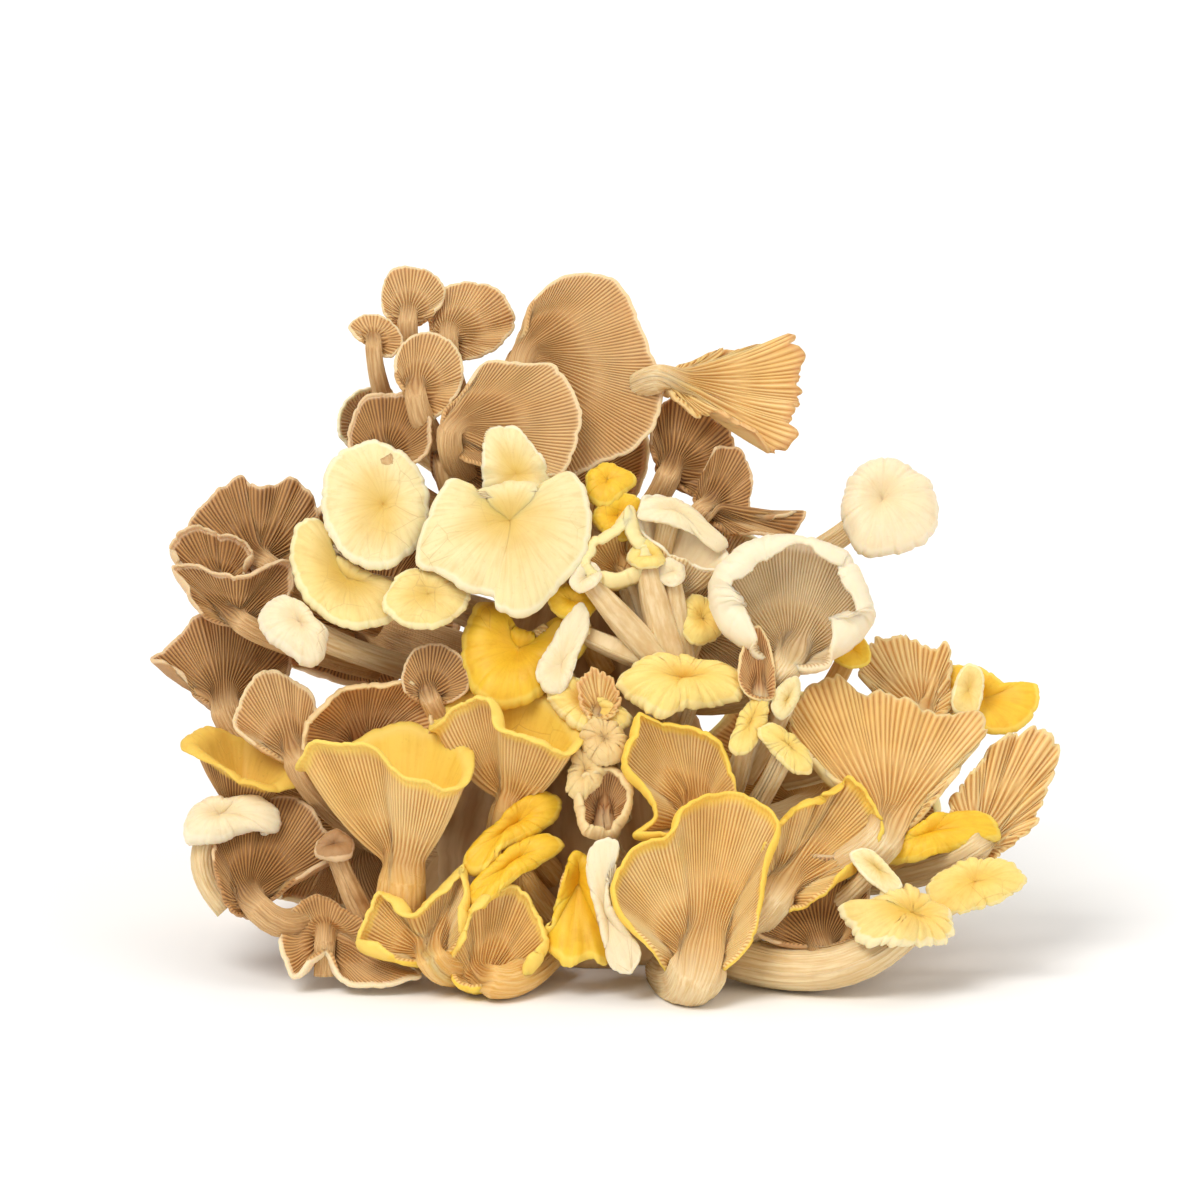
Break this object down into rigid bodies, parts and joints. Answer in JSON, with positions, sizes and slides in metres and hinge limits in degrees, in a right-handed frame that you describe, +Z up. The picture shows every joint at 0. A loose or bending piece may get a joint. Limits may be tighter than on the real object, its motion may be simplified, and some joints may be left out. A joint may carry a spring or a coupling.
{
  "type": "oyster mushroom cluster",
  "caption": "Heaped cluster of golden, tan and white oyster mushrooms with gilled fan caps and curved stems on a fused, cut stem base.",
  "frame": {"origin": "centre of the heap's footprint box, on the surface it stands on", "axes": "+X to the right seen from the front, +Y from the front of the heap to its back, +Z up"},
  "size_m": [0.3182, 0.2006, 0.2361],
  "materials": {
    "tan": "soft satin mushroom flesh, tan",
    "brown": "soft satin mushroom flesh, brown-grey",
    "primrose": "soft satin mushroom flesh, pale primrose",
    "yellowish": "soft satin mushroom flesh, pale yellow",
    "straw": "soft satin mushroom flesh, straw",
    "ivory": "soft satin mushroom flesh, ivory white",
    "golden": "soft satin mushroom flesh, bright golden",
    "loop": "soft satin mushroom flesh, cream and yellow",
    "honeybrown": "soft satin mushroom flesh, orange-brown gills",
    "goldrim": "soft satin mushroom flesh, brown with a golden rim",
    "ivorybrown": "soft satin mushroom flesh, ivory with brown gills",
    "goldhoney": "soft satin mushroom flesh, honey gills under gold",
    "honeygold": "soft satin mushroom flesh, honey and gold",
    "honeyrim": "soft satin mushroom flesh, honey with a golden rim",
    "curl": "soft satin mushroom flesh, cream with a tan underside",
    "honey": "soft satin mushroom flesh, honey cream",
    "goldivory": "soft satin mushroom flesh, ivory and gold",
    "stem": "soft satin mushroom flesh, ivory stem flesh"
  },
  "bodies": {
    "root": {"fan_top_left": "tan", "fan_top_round": "tan", "fan_top_small": "tan", "fan_round_left": "tan", "fan_arch": "brown", "cap_behind_arch": "primrose", "fan_broad": "tan", "fan_biggest": "tan", "fan_brown_middle": "brown", "cap_left_pale": "primrose", "cap_big_pale": "primrose", "cap_torn_pale": "primrose", "cap_long_yellow": "yellowish", "cap_under_yellow": "yellowish", "trumpet_top_right": "straw", "fan_dark_right": "brown", "fan_right_small": "brown", "cap_far_right_white": "ivory", "cap_curled_white": "ivory", "cap_bright_small": "golden", "loop_curl": "loop", "trumpet_pale_middle": "ivory", "fan_ruffled_left": "brown", "fan_left_upper": "brown", "fan_left_middle": "brown", "fan_big_left": "brown", "cap_curled_left": "ivory", "fan_left_low": "tan", "fan_concave": "honeybrown", "fan_yellow_rim_left": "goldrim", "cap_curled_low_left": "ivory", "fan_brown_low_left": "brown", "fan_bottom_left": "ivorybrown", "trumpet_front_left": "goldhoney", "trumpet_middle_left": "goldhoney", "cap_golden_middle": "golden", "band_ruffled_middle": "honeygold", "band_golden_upper": "golden", "band_golden_lower": "golden", "fan_golden_low_left": "goldhoney", "fan_golden_front": "goldhoney", "cap_torn_golden": "golden", "trumpet_front": "honeyrim", "fan_golden_rim": "honeyrim", "fan_ruffled_rim": "honeyrim", "curls_pale": "curl", "cap_golden_right": "honeygold", "fan_ribbed_right": "honey", "fan_ribbed_back": "honey", "cap_yellow_far_right": "golden", "fan_far_right": "honey", "petal_right": "golden", "cap_ruffled_low_right": "goldivory", "back_cap_upper": "tan", "back_cap_left": "brown", "back_cap_right": "primrose", "back_cap_low_left": "tan", "back_cap_low_middle": "golden", "back_cap_low_right": "honeygold", "stem_base": "stem"}
  },
  "joints": []
}
